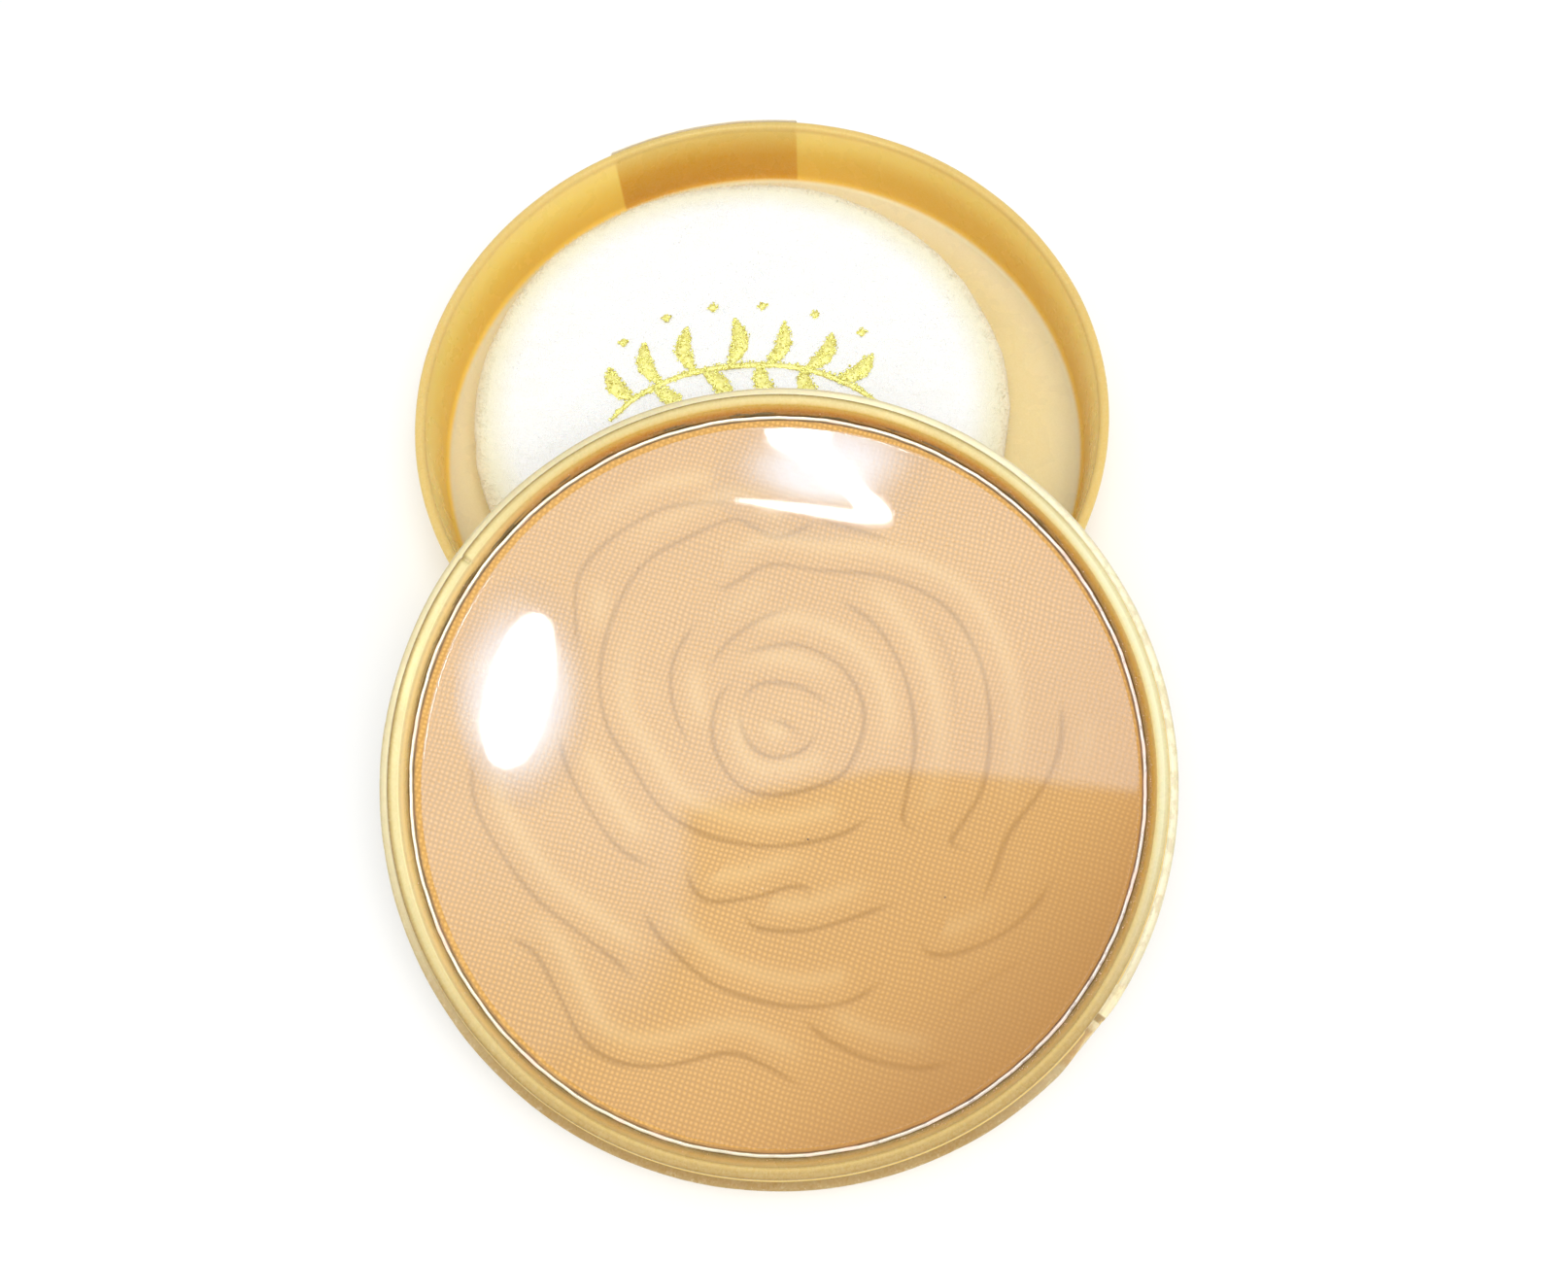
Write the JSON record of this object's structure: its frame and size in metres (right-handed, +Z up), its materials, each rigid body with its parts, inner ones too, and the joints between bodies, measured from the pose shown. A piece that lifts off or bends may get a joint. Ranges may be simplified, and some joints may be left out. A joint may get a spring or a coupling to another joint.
{
  "type": "powder compact",
  "caption": "Round powder compact, open: a leaning base with a pan of embossed pressed powder under clear film, and an upturned push-on lid holding a flocked puff.",
  "frame": {"origin": "middle of the lid's flat outer face, which lies on the table", "axes": "+Z up out of the open lid; -Y towards the base, which leans on the lid's near rim; +X to the right"},
  "size_m": [0.076, 0.1192, 0.027],
  "materials": {
    "lid_plastic": "pearly, slightly see-through gold plastic, satin gloss",
    "label_paper": "plain matt paper sticker",
    "puff_flock": "short white flock with a gold glitter sprig",
    "puff_foam": "open soft foam",
    "base_plastic": "pearly gold plastic, satin gloss, lightly worn edge",
    "tray_plastic": "pearly gold plastic, satin gloss",
    "pan_metal": "bright pressed aluminium, scuffed rim",
    "glue": "clear hot-melt glue, slightly milky",
    "powder": "matt pressed powder with a fine cloth imprint",
    "film": "clear thin film, glossy, a little wavy"
  },
  "bodies": {
    "lid": {"lid_shell": "lid_plastic", "side_label": "label_paper"},
    "puff": {"puff_back_face": "puff_flock", "puff_core": "puff_foam", "puff_front_face": "puff_flock"},
    "base": {"base_shell": "base_plastic", "inner_tray": "tray_plastic", "powder_pan": "pan_metal", "pan_glue": "glue", "powder_cake": "powder"},
    "film": {"clear_film": "film"}
  },
  "joints": [
    {"name": "base_lift", "type": "slide", "parent": "lid", "child": "base", "axis": [0, -0.2377, 0.9713], "range_m": [0, 0.07]},
    {"name": "puff_lift", "type": "slide", "parent": "lid", "child": "puff", "axis": [0, 0, 1], "range_m": [0, 0.035]},
    {"name": "film_lift", "type": "slide", "parent": "base", "child": "film", "axis": [0, -0.2377, 0.9713], "range_m": [0, 0.03]}
  ],
  "couplings": [
    {"joint": "puff_lift", "follows": "base_lift", "ratio": 0.5}
  ]
}
